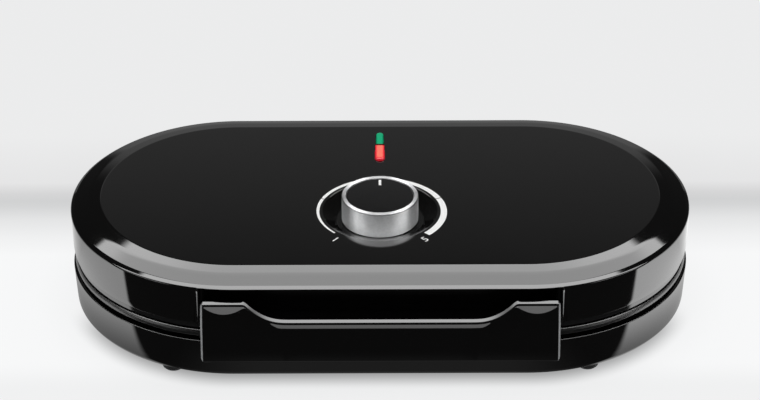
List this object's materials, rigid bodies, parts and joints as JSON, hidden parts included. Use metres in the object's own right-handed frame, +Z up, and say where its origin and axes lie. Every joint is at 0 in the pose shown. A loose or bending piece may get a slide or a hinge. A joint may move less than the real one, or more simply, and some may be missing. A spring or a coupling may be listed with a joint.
{
  "type": "double waffle maker",
  "caption": "Countertop waffle maker with a hinged lid: long round-ended casing, two heart rosette moulds side by side, and a heat dial on top.",
  "frame": {"origin": "on the floor under the middle of the body, halfway between the front of the handle and the back of the hinge", "axes": "+X to the object's right as the user faces it, along its length; +Y to the back, where the hinge is; +Z up"},
  "size_m": [0.4, 0.217, 0.089],
  "materials": {
    "black_gloss": "high gloss black moulded plastic",
    "black_rim": "satin black moulded plastic",
    "black_insert": "high gloss black disc",
    "silver_knob": "fine brushed silver",
    "white_mark": "white ink",
    "plate_coating": "dark non-stick coating on cast aluminium",
    "heater_steel": "heat-tinted steel tube",
    "sheet_steel": "mill finish sheet",
    "screw_steel": "zinc plated",
    "rubber": "matt black rubber",
    "green_lens": "clear green moulded lens",
    "red_lens": "clear red moulded lens",
    "lamp_glass": "clear glass",
    "pale_nylon": "natural nylon"
  },
  "bodies": {
    "base": {"base_shell": "black_gloss", "bottom_cover": "black_rim", "cord_gland": "rubber", "cover_screw_1": "screw_steel", "cover_screw_2": "screw_steel", "cover_screw_3": "screw_steel", "cover_screw_4": "screw_steel", "cover_screw_5": "screw_steel", "cover_screw_6": "screw_steel", "foot_front_left": "rubber", "foot_front_right": "rubber", "foot_rear_left": "rubber", "foot_rear_right": "rubber", "hinge_pin_left": "screw_steel", "hinge_pin_right": "screw_steel", "lower_baking_plate": "plate_coating", "lower_heat_shield": "sheet_steel", "lower_heating_element": "heater_steel", "lower_plate_screw_1": "screw_steel", "lower_plate_screw_2": "screw_steel", "lower_plate_screw_3": "screw_steel", "lower_plate_screw_4": "screw_steel", "terminal_block": "pale_nylon", "thermal_fuse": "sheet_steel"},
    "lid": {"bracket_screw_1": "screw_steel", "bracket_screw_2": "screw_steel", "green_lamp": "lamp_glass", "green_lens": "green_lens", "handle_panel": "black_gloss", "handle_screw_1": "screw_steel", "handle_screw_2": "screw_steel", "lamp_holder": "pale_nylon", "lid_rim": "black_rim", "lid_shell": "black_gloss", "red_lamp": "lamp_glass", "red_lens": "red_lens", "rim_screw_1": "screw_steel", "rim_screw_2": "screw_steel", "rim_screw_3": "screw_steel", "rim_screw_4": "screw_steel", "rim_screw_5": "screw_steel", "thermostat_body": "pale_nylon", "thermostat_bracket": "sheet_steel", "upper_baking_plate": "plate_coating", "upper_heat_shield": "sheet_steel", "upper_heating_element": "heater_steel", "upper_plate_screw_1": "screw_steel", "upper_plate_screw_2": "screw_steel", "upper_plate_screw_3": "screw_steel", "upper_plate_screw_4": "screw_steel"},
    "dial": {"control_knob": "silver_knob", "knob_insert": "black_insert", "knob_pointer": "white_mark", "thermostat_shaft": "screw_steel"}
  },
  "joints": [
    {"name": "lid_hinge", "type": "hinge", "parent": "base", "child": "lid", "pos_m": [0, 0.103, 0.0402], "axis": [-1, 0, 0], "range_deg": [0, 100]},
    {"name": "dial_turn", "type": "hinge", "parent": "lid", "child": "dial", "pos_m": [0, -0.0214, 0.077], "axis": [0, 0, 1], "range_deg": [-135, 135]}
  ]
}
